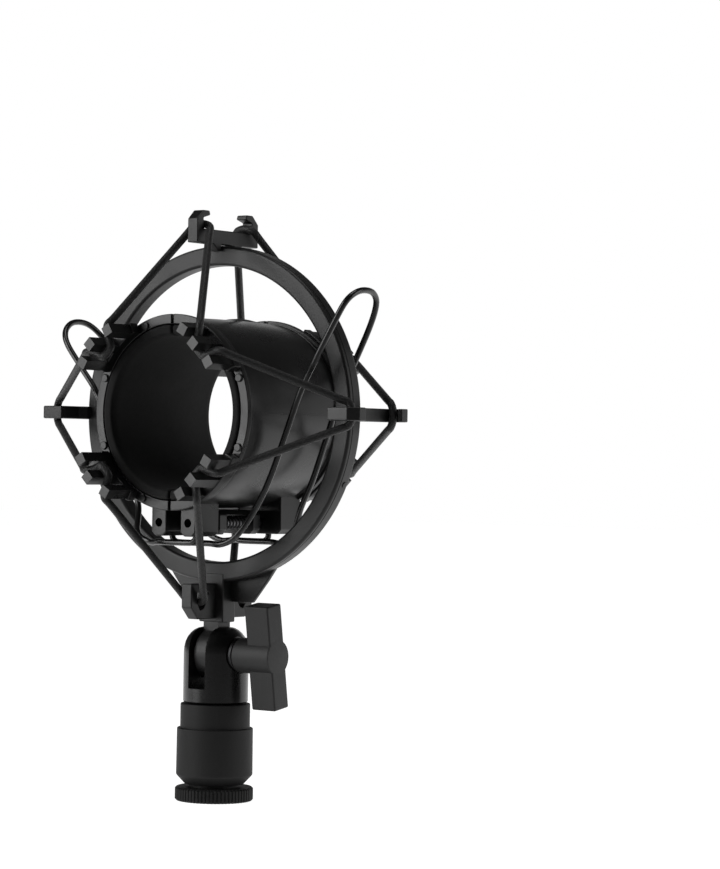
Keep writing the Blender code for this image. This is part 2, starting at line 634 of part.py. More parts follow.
def main():
    clear_scene()
    plastic = make_material("black_plastic", (0.022, 0.022, 0.024), 0.46)
    plastic_soft = make_material("black_soft_rubber", (0.016, 0.016, 0.017), 0.7)
    elastic = make_material("black_elastic", (0.02, 0.02, 0.021), 0.75)
    wire = make_material("black_coated_wire", (0.03, 0.03, 0.032), 0.28, 0.4)
    steel = make_material("zinc_steel", (0.55, 0.55, 0.56), 0.35, 1.0)
    brass = make_material("brass", (0.72, 0.52, 0.24), 0.35, 1.0)

    make_thread_adapter(plastic)
    make_socket_barrel(plastic)
    make_yoke(plastic)
    make_clamp_bolt(steel)
    make_hub_washer(steel)
    make_clamp_lever(plastic)
    make_lever_insert(brass)

    make_outer_ring(plastic)
    for place, degrees in (("top", 90.0), ("right", 0.0), ("left", 180.0)):
        make_hook_bar(place, degrees, plastic)
    make_elastic("front", -1.0, elastic)
    make_elastic("rear", 1.0, elastic)

    make_hinge_block(plastic)
    for place, hand, socket_y in (("right", 1.0, 17.2), ("left", -1.0, 14.6)):
        make_hinge_pin(place, hand, steel)
        make_torsion_spring(place, hand, wire)
        make_shell(place, hand, socket_y, plastic)
        make_lining(place, hand, plastic_soft)
    make_handle_wire("right", 1.0, 14.6, RIGHT_REACH, wire)
    make_handle_wire("left", -1.0, 17.2, LEFT_REACH, wire)
    for side in (-1.0, 1.0):
        for place, degrees in CLEAT_ANGLES.items():
            make_cleat(place, side, degrees, plastic)


main()
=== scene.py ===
import math

import bmesh
import bpy
from mathutils import Matrix, Vector


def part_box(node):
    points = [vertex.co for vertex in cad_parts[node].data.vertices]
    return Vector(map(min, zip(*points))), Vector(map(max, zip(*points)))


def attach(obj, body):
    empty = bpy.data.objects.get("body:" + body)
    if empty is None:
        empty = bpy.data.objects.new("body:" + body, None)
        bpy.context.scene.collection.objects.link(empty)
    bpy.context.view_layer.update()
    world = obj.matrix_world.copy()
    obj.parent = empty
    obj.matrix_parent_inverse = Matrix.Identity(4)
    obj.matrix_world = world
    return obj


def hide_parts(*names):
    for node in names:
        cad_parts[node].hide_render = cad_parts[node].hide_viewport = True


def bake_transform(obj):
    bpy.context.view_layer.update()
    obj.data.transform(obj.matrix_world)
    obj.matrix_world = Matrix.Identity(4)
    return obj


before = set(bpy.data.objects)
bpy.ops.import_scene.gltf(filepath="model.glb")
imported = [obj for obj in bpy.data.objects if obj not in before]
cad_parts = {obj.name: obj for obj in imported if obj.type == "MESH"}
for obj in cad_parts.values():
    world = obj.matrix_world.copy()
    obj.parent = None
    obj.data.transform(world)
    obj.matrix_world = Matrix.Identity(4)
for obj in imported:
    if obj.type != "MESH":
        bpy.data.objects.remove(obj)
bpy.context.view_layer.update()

mm = 0.001
ringLow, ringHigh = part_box("outer_ring")
boltLow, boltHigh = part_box("clamp_bolt")
ringZ = ringHigh.z - ringHigh.x  # centre of the ring and the sleeve
pivotZ = (boltLow.z + boltHigh.z) / 2  # tilt pivot
print("frame loaded, ring centre at", round(ringZ / mm, 2), "mm")


# small modelling helpers; lengths come in millimetres and leave in metres
def fromRing(x, y, z):
    return Vector((x * mm, y * mm, ringZ + z * mm))


def fromFoot(x, y, z):
    return Vector((x, y, z)) * mm


def fromPivot(x, y, z):
    return Vector((x * mm, y * mm, pivotZ + z * mm))


def around(radius, degrees, y=0.0):
    angle = math.radians(degrees)
    return fromRing(radius * math.cos(angle), y, radius * math.sin(angle))


def pickOnly(piece):
    bpy.ops.object.select_all(action="DESELECT")
    piece.select_set(True)
    bpy.context.view_layer.objects.active = piece


def nameIt(piece, name):
    piece.name = name
    piece.data.name = name
    return piece


def freeze(piece):
    pickOnly(piece)
    bpy.ops.object.transform_apply(location=True, rotation=True, scale=True)
    return piece


def layOutline(name, points, filled=True):
    bpy.ops.object.select_all(action="DESELECT")
    fill = "NGON" if filled else "NOTHING"
    bpy.ops.mesh.primitive_circle_add(vertices=len(points), radius=10 * mm, fill_type=fill)
    piece = nameIt(bpy.context.object, name)
    for vertex, point in zip(piece.data.vertices, points):
        vertex.co = point
    return piece


def tidyMesh(reach=0.002):
    bpy.ops.mesh.select_all(action="SELECT")
    bpy.ops.mesh.remove_doubles(threshold=reach * mm)
    bpy.ops.mesh.normals_make_consistent(inside=False)


def extrudePlate(piece, move):
    pickOnly(piece)
    bpy.ops.object.mode_set(mode="EDIT")
    bpy.ops.mesh.select_all(action="SELECT")
    bpy.ops.mesh.extrude_region_move(TRANSFORM_OT_translate={"value": move * mm})
    tidyMesh()
    bpy.ops.object.mode_set(mode="OBJECT")
    return piece


def spinOutline(piece, turn, steps, axis, center, onAxis=False):
    pickOnly(piece)
    bpy.ops.object.mode_set(mode="EDIT")
    shape = bmesh.from_edit_mesh(piece.data)
    if onAxis:  # the edge along the axis would only make slivers
        bpy.ops.mesh.select_all(action="DESELECT")
        bpy.ops.mesh.select_mode(type="EDGE")
        for edge in shape.edges:
            away = [(v.co - center).cross(axis).length for v in edge.verts]
            edge.select_set(max(away) < 0.001 * mm)
        bmesh.update_edit_mesh(piece.data)
        bpy.ops.mesh.delete(type="EDGE")
        bpy.ops.mesh.select_mode(type="VERT")
    bpy.ops.mesh.select_all(action="SELECT")
    bpy.ops.mesh.spin(steps=steps, angle=math.radians(turn), center=center, axis=axis)
    tidyMesh()
    bpy.ops.object.mode_set(mode="OBJECT")
    return piece


def applyStep(piece, kind, **settings):
    pickOnly(piece)
    step = piece.modifiers.new(kind.lower(), kind)
    for key, value in settings.items():
        setattr(step, key, value)
    bpy.ops.object.modifier_apply(modifier=step.name)
    return piece


def soften(piece, width, segments=2, above=40):
    return applyStep(piece, "BEVEL", width=width * mm, segments=segments, limit_method="ANGLE",
                     angle_limit=math.radians(above), miter_outer="MITER_ARC")


def combine(operation, piece, others):
    for other in others:
        applyStep(piece, "BOOLEAN", operation=operation, solver="EXACT", object=other)
        bpy.data.objects.remove(other)
    return piece


def weld(piece, *others):
    return combine("UNION", piece, others)


def carve(piece, *others):
    return combine("DIFFERENCE", piece, others)


def gather(name, pieces):
    bpy.ops.object.select_all(action="DESELECT")
    for piece in pieces:
        piece.select_set(True)
    bpy.context.view_layer.objects.active = pieces[0]
    bpy.ops.object.join()
    return nameIt(bpy.context.object, name)


def copyPiece(piece, name, turn):
    other = piece.copy()
    other.data = piece.data.copy()
    bpy.context.scene.collection.objects.link(other)
    other.data.transform(turn)
    return nameIt(other, name)


def turnAboutRing(degrees):
    place = Matrix.Translation((0, 0, ringZ))
    return place @ Matrix.Rotation(math.radians(-degrees), 4, "Y") @ place.inverted()


def block(name, low, high):
    bpy.ops.object.select_all(action="DESELECT")
    size = [b - a for a, b in zip(low, high)]
    middle = [(a + b) / 2 for a, b in zip(low, high)]
    bpy.ops.mesh.primitive_cube_add(size=1, location=middle, scale=size)
    return freeze(nameIt(bpy.context.object, name))


def roundBar(name, start, end, radius, sides=48):
    bpy.ops.object.select_all(action="DESELECT")
    along = end - start
    turn = along.to_track_quat("Z", "Y").to_euler()
    bpy.ops.mesh.primitive_cylinder_add(vertices=sides, radius=radius * mm, depth=along.length,
                                        location=(start + end) / 2, rotation=turn)
    return freeze(nameIt(bpy.context.object, name))


def curveSpan(a, b, c, d, steps):
    span = []
    for k in range(steps):
        t = k / steps
        span.append(0.5 * (2 * b + (c - a) * t + (2 * a - 5 * b + 4 * c - d) * t * t
                           + (3 * b - a - 3 * c + d) * t ** 3))
    return span


def smoothPath(points, perSpan):
    path = []
    for i, (b, c) in enumerate(zip(points, points[1:])):
        a = points[i - 1] if i else b * 2 - c
        d = points[i + 2] if i + 2 < len(points) else c * 2 - b
        path += curveSpan(a, b, c, d, max(1, round((c - b).length / (perSpan * mm))))
    return path + [points[-1]]


def bendWire(name, path, radius, roundness=5):
    curve = bpy.data.curves.new(name, "CURVE")
    curve.dimensions = "3D"
    curve.bevel_depth = radius * mm
    curve.bevel_resolution = roundness
    curve.use_fill_caps = True
    line = curve.splines.new("POLY")
    line.points.add(len(path) - 1)
    for knot, point in zip(line.points, path):
        knot.co = (*point, 1)
    wire = bpy.data.objects.new(name, curve)
    bpy.context.scene.collection.objects.link(wire)
    pickOnly(wire)
    bpy.ops.object.convert(target="MESH")
    wire = nameIt(bpy.context.object, name)
    bpy.ops.object.mode_set(mode="EDIT")
    tidyMesh()
    bpy.ops.object.mode_set(mode="OBJECT")
    return wire


def finishPiece(piece, body, slotName, material, *nodes, smooth=32, evenFaces=True):
    pickOnly(piece)
    bpy.ops.object.shade_smooth_by_angle(angle=math.radians(smooth))
    if evenFaces:
        applyStep(piece, "WEIGHTED_NORMAL", keep_sharp=True, weight=60)
    piece.data.materials.clear()
    piece.data.materials.append(material)
    if body:
        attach(piece, body)
    if nodes:
        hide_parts(*nodes)
    return piece


# node helpers
def feed(tree, socket, value):
    if isinstance(value, bpy.types.NodeSocket):
        tree.links.new(value, socket)
    else:
        socket.default_value = value


def addNode(tree, kind, values=None, **settings):
    node = tree.nodes.new("ShaderNode" + kind)
    for key, value in settings.items():
        setattr(node, key, value)
    for key, value in (values or {}).items():
        feed(tree, node.inputs[key], value)
    return node


def maths(tree, operation, a, b=0.0, clamp=False):
    return addNode(tree, "Math", {0: a, 1: b}, operation=operation, use_clamp=clamp).outputs[0]


def mixColor(tree, share, a, b, **settings):
    return addNode(tree, "Mix", {0: share, 6: a, 7: b}, data_type="RGBA", **settings).outputs[2]


def remap(tree, value, fromLow=0.0, fromHigh=1.0, low=0.0, high=1.0):
    return addNode(tree, "MapRange", {"Value": value, "From Min": fromLow, "From Max": fromHigh,
                                      "To Min": low, "To Max": high}).outputs[0]


def noise(tree, vector, scale, detail, roughness=0.5, distortion=0.0):
    return addNode(tree, "TexNoise", {"Vector": vector, "Scale": scale, "Detail": detail,
                                      "Roughness": roughness, "Distortion": distortion}).outputs[0]


# camera and light
camera = {"azimuth": 35.8, "elevation": -0.4, "distance": 0.85, "lens": 119.1, "roll": 0.95,
          "lookRight": 0.0413, "lookUp": -0.0061}


def placeCamera():
    azimuth = math.radians(camera["azimuth"])
    elevation = math.radians(camera["elevation"])
    back = Vector((math.sin(azimuth) * math.cos(elevation), -math.cos(azimuth) * math.cos(elevation),
                   math.sin(elevation)))
    turn = back.to_track_quat("Z", "Y").to_matrix()
    turn = Matrix.Rotation(math.radians(camera["roll"]), 3, back) @ turn
    aim = Vector((0, 0, ringZ)) + turn.col[0] * camera["lookRight"] + turn.col[1] * camera["lookUp"]
    bpy.ops.object.camera_add(location=aim + back * camera["distance"], rotation=turn.to_euler())
    shot = bpy.context.object
    shot.data.lens = camera["lens"]
    shot.data.sensor_width = 36
    shot.data.clip_start = 0.01
    bpy.context.scene.camera = shot


softboxes = {  # place, size, strength in watts
    "tallFrontLeft": ((-0.64, -0.92, 0.40), (0.52, 1.25), 8.6),
    "rightBack": ((1.00, 0.42, 0.24), (0.45, 0.9), 2.6),
    "overhead": ((0.10, -0.05, 1.15), (0.45, 0.45), 1.6),
}
backdrop = {"towards": (-0.585, 0.811, 0.0),  # the lit side of the studio, behind the object
            "round": ((0.40, 0.04), (0.65, 0.42), (0.875, 1.0)), "upwards": ((0.22, 1.0), (0.42, 0.07)),
            "leftEdge": ((0.10, 0.06), (0.24, 1.0))}
floorGlow = {"seen": 0.96, "front": -0.16, "back": 0.06, "low": 0.06, "high": 0.95}


def fadeAlong(tree, value, stops):
    fade = addNode(tree, "ValToRGB", {"Fac": value})
    while len(fade.color_ramp.elements) < len(stops):
        fade.color_ramp.elements.new(0.5)
    for stop, (position, level) in zip(fade.color_ramp.elements, stops):
        stop.position = position
        stop.color = (level, level, level, 1)
    return fade.outputs["Color"]


def lightStudio():
    for name, (place, size, power) in softboxes.items():
        aim = (Vector((0, 0, ringZ * 0.8)) - Vector(place)).to_track_quat("-Z", "Y")
        bpy.ops.object.light_add(type="AREA", location=place, rotation=aim.to_euler())
        lamp = bpy.context.object
        lamp.name = name
        lamp.data.shape = "RECTANGLE"
        lamp.data.size, lamp.data.size_y = size
        lamp.data.energy = power
        lamp.visible_camera = False
    world = bpy.data.worlds.new("whiteStudio")
    world.use_nodes = True
    bpy.context.scene.world = world
    tree = world.node_tree
    where = addNode(tree, "TexCoord").outputs["Generated"]
    facing = addNode(tree, "VectorMath", {0: where, 1: backdrop["towards"]}, operation="DOT_PRODUCT")
    axes = addNode(tree, "SeparateXYZ", {0: where})
    level = None
    for value, stops, halved in ((facing.outputs["Value"], backdrop["round"], True),
                                 (axes.outputs["Z"], backdrop["upwards"], False),
                                 (axes.outputs["X"], backdrop["leftEdge"], True)):
        if halved:  # from -1..1 to 0..1
            value = addNode(tree, "Math", {0: value, 1: 0.5, 2: 0.5}, operation="MULTIPLY_ADD").outputs[0]
        fade = fadeAlong(tree, value, stops)
        level = mixColor(tree, 1.0, level, fade, blend_type="MULTIPLY") if level else fade
    seen = addNode(tree, "LightPath").outputs["Is Camera Ray"]  # the camera itself sees plain white paper
    tree.links.new(mixColor(tree, seen, level, (1, 1, 1, 1)), tree.nodes["Background"].inputs["Color"])
    bpy.context.scene.view_settings.view_transform = "Standard"


def layFloor():
    bpy.ops.object.select_all(action="DESELECT")
    bpy.ops.mesh.primitive_plane_add(size=1, location=(0, 0, 0))
    floor = nameIt(bpy.context.object, "paleFloor")
    floor.scale = (6, 6, 1)
    freeze(floor)
    paint = bpy.data.materials.new("paleFloor")
    paint.use_nodes = True
    tree = paint.node_tree
    shader = tree.nodes["Principled BSDF"].inputs
    shader["Base Color"].default_value = (0.6, 0.6, 0.6, 1)
    shader["Roughness"].default_value = 0.8
    shader["Specular IOR Level"].default_value = 0.1
    shader["Emission Color"].default_value = (1, 1, 1, 1)
    # the plastics mirror a table that is lit behind the object and dim before it
    place = addNode(tree, "TexCoord").outputs["Object"]
    along = addNode(tree, "VectorMath", {0: place, 1: backdrop["towards"]}, operation="DOT_PRODUCT")
    glow = remap(tree, along.outputs["Value"], floorGlow["front"], floorGlow["back"],
                 floorGlow["low"], floorGlow["high"])
    seen = addNode(tree, "LightPath").outputs["Is Camera Ray"]
    strength = addNode(tree, "Mix", {0: seen, 2: glow, 3: floorGlow["seen"]})
    tree.links.new(strength.outputs[0], shader["Emission Strength"])
    floor.data.materials.append(paint)


placeCamera()
lightStudio()
layFloor()
print("camera, light and floor placed")


# shader effects that the finishes share
def newEffect(name, inputs, outputs):
    tree = bpy.data.node_groups.new(name, "ShaderNodeTree")
    for label, kind, value in inputs:
        socket = tree.interface.new_socket(name=label, in_out="INPUT", socket_type="NodeSocket" + kind)
        if value is not None:
            socket.default_value = value
    for label, kind in outputs:
        tree.interface.new_socket(name=label, in_out="OUTPUT", socket_type="NodeSocket" + kind)
    return tree, tree.nodes.new("NodeGroupInput").outputs, tree.nodes.new("NodeGroupOutput").inputs


def makeMouldGrain():
    tree, given, out = newEffect("mouldGrain", [("Vector", "Vector", None), ("Fineness", "Float", 2600.0)],
                                 [("Height", "Float"), ("Tone", "Float")])
    grain = noise(tree, given["Vector"], given["Fineness"], 5.0, 0.62)
    coarse = maths(tree, "MULTIPLY", given["Fineness"], 0.55)
    pits = addNode(tree, "TexVoronoi", {"Vector": given["Vector"], "Scale": coarse, "Randomness": 1.0},
                   feature="SMOOTH_F1")
    height = addNode(tree, "Mix", {0: 0.4, 2: grain, 3: pits.outputs["Distance"]})
    tree.links.new(height.outputs[0], out["Height"])
    tree.links.new(noise(tree, given["Vector"], 46.0, 4.0, 0.55, 0.8), out["Tone"])
    return tree


def makeEdgeWear():
    tree, given, out = newEffect("edgeWear", [("Vector", "Vector", None), ("Width", "Float", 0.0004),
                                              ("Patches", "Float", 420.0)], [("Mask", "Float")])
    rounded = addNode(tree, "Bevel", {"Radius": given["Width"]}, samples=4)
    surface = addNode(tree, "NewGeometry")
    facing = addNode(tree, "VectorMath", {0: rounded.outputs[0], 1: surface.outputs["Normal"]},
                     operation="DOT_PRODUCT")
    edge = maths(tree, "MULTIPLY", maths(tree, "SUBTRACT", 1.0, facing.outputs["Value"]), 7.0, clamp=True)
    patches = remap(tree, noise(tree, given["Vector"], given["Patches"], 6.0, 0.7), 0.42, 0.68)
    tree.links.new(maths(tree, "MULTIPLY", edge, patches, clamp=True), out["Mask"])
    return tree


def makeFineScratches():
    tree, given, out = newEffect("fineScratches", [("Vector", "Vector", None), ("Amount", "Float", 0.5)],
                                 [("Mask", "Float")])
    total = None
    for turn, size in ((0.35, 300.0), (-0.9, 240.0), (1.35, 380.0)):
        lean = addNode(tree, "Mapping", {"Vector": given["Vector"], "Rotation": (turn, turn * 0.6, turn),
                                         "Scale": (1.0, 0.03, 0.05)})
        thin = remap(tree, noise(tree, lean.outputs[0], size * 4, 2.0), 0.66, 0.72)
        total = maths(tree, "MAXIMUM", total, thin) if total else thin
    where = remap(tree, noise(tree, given["Vector"], 70.0, 3.0), 0.45, 0.65)
    marks = maths(tree, "MULTIPLY", total, where)
    tree.links.new(maths(tree, "MULTIPLY", marks, given["Amount"], clamp=True), out["Mask"])
    return tree


def makeLightDust():
    tree, given, out = newEffect("lightDust", [("Vector", "Vector", None), ("Amount", "Float", 0.2)],
                                 [("Mask", "Float")])
    surface = addNode(tree, "NewGeometry")
    axes = addNode(tree, "SeparateXYZ", {0: surface.outputs["Normal"]})
    upward = remap(tree, axes.outputs["Z"], 0.25)
    clumps = remap(tree, noise(tree, given["Vector"], 900.0, 8.0, 0.8), 0.48, 0.7)
    held = maths(tree, "MULTIPLY", upward, clumps)
    tree.links.new(maths(tree, "MULTIPLY", held, given["Amount"], clamp=True), out["Mask"])
    return tree


def makeCordBraid():
    tree, given, out = newEffect("cordBraid", [("UV", "Vector", None), ("Carriers", "Float", 8.0),
                                               ("Rise", "Float", 1.0)],
                                 [("Height", "Float"), ("Tone", "Float")])
    axes = addNode(tree, "SeparateXYZ", {0: given["UV"]})
    across = maths(tree, "MULTIPLY", axes.outputs["X"], given["Carriers"])
    along = maths(tree, "MULTIPLY", axes.outputs["Y"], given["Rise"])
    bundles = []
    for sign in ("ADD", "SUBTRACT"):
        lean = maths(tree, "MULTIPLY", maths(tree, sign, across, along), math.pi)
        bundles.append(maths(tree, "ABSOLUTE", maths(tree, "SINE", lean)))
    crossing = maths(tree, "MULTIPLY", maths(tree, "SINE", maths(tree, "MULTIPLY", across, math.pi)),
                     maths(tree, "SINE", maths(tree, "MULTIPLY", along, math.pi)))
    over = remap(tree, crossing, -0.2, 0.2)
    woven = addNode(tree, "Mix", {0: over, 2: bundles[0], 3: bundles[1]})
    threads = noise(tree, given["UV"], 60.0, 3.0)
    fuzz = addNode(tree, "Mix", {0: 0.18, 2: woven.outputs[0], 3: threads})
    tree.links.new(fuzz.outputs[0], out["Height"])
    # Tone repeats the weave's relief, low in the grooves between bundles: colour made from it is painted
    # shade in those grooves
    tree.links.new(woven.outputs[0], out["Tone"])
    return tree


mouldGrain = makeMouldGrain()
edgeWear = makeEdgeWear()
fineScratches = makeFineScratches()
lightDust = makeLightDust()
cordBraid = makeCordBraid()


def useEffect(tree, effect, **values):
    node = tree.nodes.new("ShaderNodeGroup")
    node.node_tree = effect
    for key, value in values.items():
        feed(tree, node.inputs[key], value)
    return node.outputs


def startFinish(name):
    material = bpy.data.materials.new(name)
    material.use_nodes = True
    tree = material.node_tree
    place = addNode(tree, "TexCoord").outputs["Object"]
    return material, tree, tree.nodes["Principled BSDF"].inputs, place


def addBump(tree, shader, strength, depth, height):
    bump = addNode(tree, "Bump", {"Strength": strength, "Distance": depth * mm, "Height": height})
    tree.links.new(bump.outputs[0], shader["Normal"])


def grey(level, warm=0.0):
    return (level * (1 + warm), level, level * (1 - warm * 0.5), 1)


def mouldedPlastic(name, tone, roughness, fineness, depth, wear=0.35, scratches=0.35, dust=0.10):
    material, tree, shader, place = startFinish(name)
    grain = useEffect(tree, mouldGrain, Vector=place, Fineness=fineness)
    worn = maths(tree, "MULTIPLY", useEffect(tree, edgeWear, Vector=place)["Mask"], wear)
    marks = useEffect(tree, fineScratches, Vector=place, Amount=scratches)["Mask"]
    dusty = useEffect(tree, lightDust, Vector=place, Amount=dust)["Mask"]
    color = mixColor(tree, remap(tree, grain["Tone"]), grey(tone * 0.8), grey(tone * 1.25))
    color = mixColor(tree, worn, color, grey(tone * 4.5))
    color = mixColor(tree, marks, color, grey(tone * 3.0))
    tree.links.new(mixColor(tree, dusty, color, grey(0.16, 0.04)), shader["Base Color"])
    rough = remap(tree, grain["Tone"], 0.3, 0.7, roughness - 0.05, roughness + 0.07)
    rough = maths(tree, "ADD", rough, maths(tree, "MULTIPLY", marks, 0.15))
    rough = maths(tree, "ADD", rough, maths(tree, "MULTIPLY", dusty, 0.5))
    tree.links.new(maths(tree, "SUBTRACT", rough, maths(tree, "MULTIPLY", worn, 0.12)), shader["Roughness"])
    height = maths(tree, "SUBTRACT", grain["Height"], maths(tree, "MULTIPLY", marks, 0.6))
    addBump(tree, shader, 0.55, depth, height)
    return material


def mattBarrel(name, tone):
    material = mouldedPlastic(name, tone, 0.6, 2200.0, 0.06, wear=0.25, scratches=0.2)
    material.node_tree.nodes["Principled BSDF"].inputs["Specular IOR Level"].default_value = 0.28
    return material


def softFoam(name, tone):
    material, tree, shader, place = startFinish(name)
    cells = useEffect(tree, mouldGrain, Vector=place, Fineness=1500.0)
    dusty = useEffect(tree, lightDust, Vector=place, Amount=0.12)["Mask"]
    # colour follows the cell relief, darker in the pits: painted shade in the foam's pores
    color = mixColor(tree, cells["Height"], grey(tone * 0.6), grey(tone * 1.5))
    tree.links.new(mixColor(tree, dusty, color, grey(0.12)), shader["Base Color"])
    tree.links.new(remap(tree, cells["Tone"], low=0.72, high=0.92), shader["Roughness"])
    addBump(tree, shader, 0.7, 0.09, cells["Height"])
    shader["Specular IOR Level"].default_value = 0.35
    return material


def braidedCord(name, tone):
    material, tree, shader, place = startFinish(name)
    flat = addNode(tree, "UVMap", uv_map="cordUv").outputs[0]
    braid = useEffect(tree, cordBraid, UV=flat, Carriers=8.0, Rise=0.9)
    dusty = useEffect(tree, lightDust, Vector=place, Amount=0.12)["Mask"]
    # colour follows the weave's relief: painted shade in the grooves between bundles, lighter on the bundle
    # crowns
    color = mixColor(tree, braid["Tone"], grey(tone * 0.45), grey(tone * 1.4))
    tree.links.new(mixColor(tree, dusty, color, grey(0.14)), shader["Base Color"])
    tree.links.new(remap(tree, braid["Tone"], low=0.62, high=0.44), shader["Roughness"])
    addBump(tree, shader, 0.6, 0.13, braid["Height"])
    shader["Sheen Weight"].default_value = 0.12
    shader["Sheen Roughness"].default_value = 0.4
    return material


def paintedWire(name, tone):
    material, tree, shader, place = startFinish(name)
    coat = useEffect(tree, mouldGrain, Vector=place, Fineness=900.0)
    marks = useEffect(tree, fineScratches, Vector=place, Amount=0.5)["Mask"]
    color = mixColor(tree, coat["Tone"], grey(tone * 0.8), grey(tone * 1.2))
    tree.links.new(mixColor(tree, marks, color, grey(0.1)), shader["Base Color"])
    rough = remap(tree, coat["Tone"], low=0.2, high=0.34)
    tree.links.new(maths(tree, "ADD", rough, maths(tree, "MULTIPLY", marks, 0.2)), shader["Roughness"])
    addBump(tree, shader, 0.25, 0.04, coat["Height"])
    shader["Coat Weight"].default_value = 0.3
    shader["Coat Roughness"].default_value = 0.15
    return material


def bareMetal(name, color, roughness):
    material, tree, shader, place = startFinish(name)
    plating = useEffect(tree, mouldGrain, Vector=place, Fineness=2200.0)
    marks = useEffect(tree, fineScratches, Vector=place, Amount=0.8)["Mask"]
    dull = tuple(c * 0.55 for c in color)
    tone = mixColor(tree, plating["Tone"], (*dull, 1), (*color, 1))
    tree.links.new(mixColor(tree, marks, tone, (0.8, 0.8, 0.8, 1)), shader["Base Color"])
    rough = remap(tree, plating["Tone"], low=roughness - 0.1, high=roughness + 0.15)
    tree.links.new(rough, shader["Roughness"])
    addBump(tree, shader, 0.3, 0.03, plating["Height"])
    shader["Metallic"].default_value = 1.0
    return material


ringPlastic = mouldedPlastic("ringPlastic", 0.010, 0.40, 2400.0, 0.05)
sleevePlastic = mouldedPlastic("sleevePlastic", 0.008, 0.29, 3000.0, 0.03)
swivelPlastic = mouldedPlastic("swivelPlastic", 0.006, 0.27, 2600.0, 0.03)
leverPlastic = mouldedPlastic("leverPlastic", 0.014, 0.52, 1900.0, 0.07)
barrelPlastic = mattBarrel("barrelPlastic", 0.012)
adapterPlastic = mattBarrel("adapterPlastic", 0.009)
liningFoam = softFoam("liningFoam", 0.010)
elasticCord = braidedCord("elasticCord", 0.012)
wireCoating = paintedWire("wireCoating", 0.008)
springSteel = bareMetal("springSteel", (0.06, 0.06, 0.062), 0.42)
zincPlate = bareMetal("zincPlate", (0.30, 0.30, 0.31), 0.34)
brassMetal = bareMetal("brassMetal", (0.72, 0.52, 0.24), 0.34)
print("finishes mixed")


# ring with its lower bracket, gusset, neck and tongue
ring = {"outerR": 49.5, "innerR": 43.7, "halfDepth": 2.8, "edge": 0.9, "grooveY": -1.2, "grooveWidth": 0.34,
        "grooveDepth": 0.26, "steps": 192, "gateAngle": -24, "gateY": 0.8, "gateR": 0.9}
bracket = {"halfThick": 1.9, "top": -46.0, "underRing": -49.9, "foot": -60.3, "end": 14.4, "edge": 0.35,
           "window": [(6.2, -52.4), (11.5, -52.4), (11.5, -55.4), (10.1, -57.6), (8.4, -57.0)]}
gusset = {"half": [(12.0, -55.4), (17.6, -48.6), (20.5, -44.7)], "y": (1.4, 2.75), "peak": -46.3}
tongue = {"halfWidth": 2.75, "neckHalf": 2.95, "neckWide": 4.5, "neckStart": 9.4, "radius": 7.4, "hole": 2.3,
          "edge": 0.4}


def makeRingFrame():
    low, high, d = ring["innerR"], ring["outerR"], ring["halfDepth"]
    g, w, sink = ring["grooveY"], ring["grooveWidth"] / 2, ring["grooveDepth"]
    profile = [(low, -d), (high, -d), (high, g - w), (high - sink, g - w * 0.5), (high - sink, g + w * 0.5),
               (high, g + w), (high, d), (low, d)]
    hoop = layOutline("ringFrame", [fromRing(r, y, 0) for r, y in profile], filled=False)
    spinOutline(hoop, 360, ring["steps"], (0, 1, 0), fromRing(0, 0, 0))
    soften(hoop, ring["edge"], 4, above=80)

    end, foot, under, top = bracket["end"], bracket["foot"], bracket["underRing"], bracket["top"]
    side = [(2.2, top), (2.2, under), (end, under), (end, foot + 3.4), (end - 3.2, foot)]
    outline = [(-y, z) for y, z in side] + [(y, z) for y, z in reversed(side)]
    t = bracket["halfThick"]
    plate = layOutline("bracket", [fromRing(-t, y, z) for y, z in outline])
    extrudePlate(plate, Vector((2 * t, 0, 0)))
    for hand in (-1, 1):
        window = layOutline("window", [fromRing(-5, hand * y, z) for y, z in bracket["window"]])
        carve(plate, extrudePlate(window, Vector((10, 0, 0))))
    soften(plate, bracket["edge"], 3)

    outline = [(-x, z) for x, z in reversed(gusset["half"])] + gusset["half"] + [(0, gusset["peak"])]
    rear, front = gusset["y"][1], gusset["y"][0]
    web = layOutline("gusset", [fromRing(x, front, z) for x, z in outline])
    extrudePlate(web, Vector((0, rear - front, 0)))
    soften(web, 0.3, 3, above=30)

    h, n, wide, start = tongue["halfWidth"], tongue["neckHalf"], tongue["neckWide"], tongue["neckStart"]
    neck = block("neck", fromPivot(-wide, -n, start), Vector((wide * mm, n * mm, ringZ - 47.0 * mm)))
    soften(neck, tongue["edge"], 3)
    stem = block("stem", fromPivot(-h, -n + 0.15, 0), fromPivot(h, n - 0.15, start + 1))
    disc = roundBar("tongue", fromPivot(-h + 0.01, 0, 0), fromPivot(h - 0.01, 0, 0), tongue["radius"], 96)
    soften(disc, tongue["edge"], 3)
    gateStart = around(high - 1.0, ring["gateAngle"], ring["gateY"])
    gateEnd = around(high + 0.25, ring["gateAngle"], ring["gateY"])
    gate = roundBar("gateMark", gateStart, gateEnd, ring["gateR"], 24)
    soften(gate, 0.15, 2)
    weld(hoop, plate, web, neck, stem, disc, gate)
    carve(hoop, roundBar("boltHole", fromPivot(-6, 0, 0), fromPivot(6, 0, 0), tongue["hole"], 48))
    finishPiece(hoop, "head", "ring_plastic", ringPlastic, "outer_ring")


# hook bars across the rim
hook = {"halfWidth": 1.9, "edge": 0.32,
        "half": [(6.9, 54.0), (11.3, 54.0), (11.5, 57.2), (8.4, 58.1), (8.8, 59.4), (11.7, 59.4),
                 (14.4, 56.8), (14.4, 49.8), (6.8, 49.8), (4.5, 47.9), (3.05, 47.9), (3.05, 49.8)]}


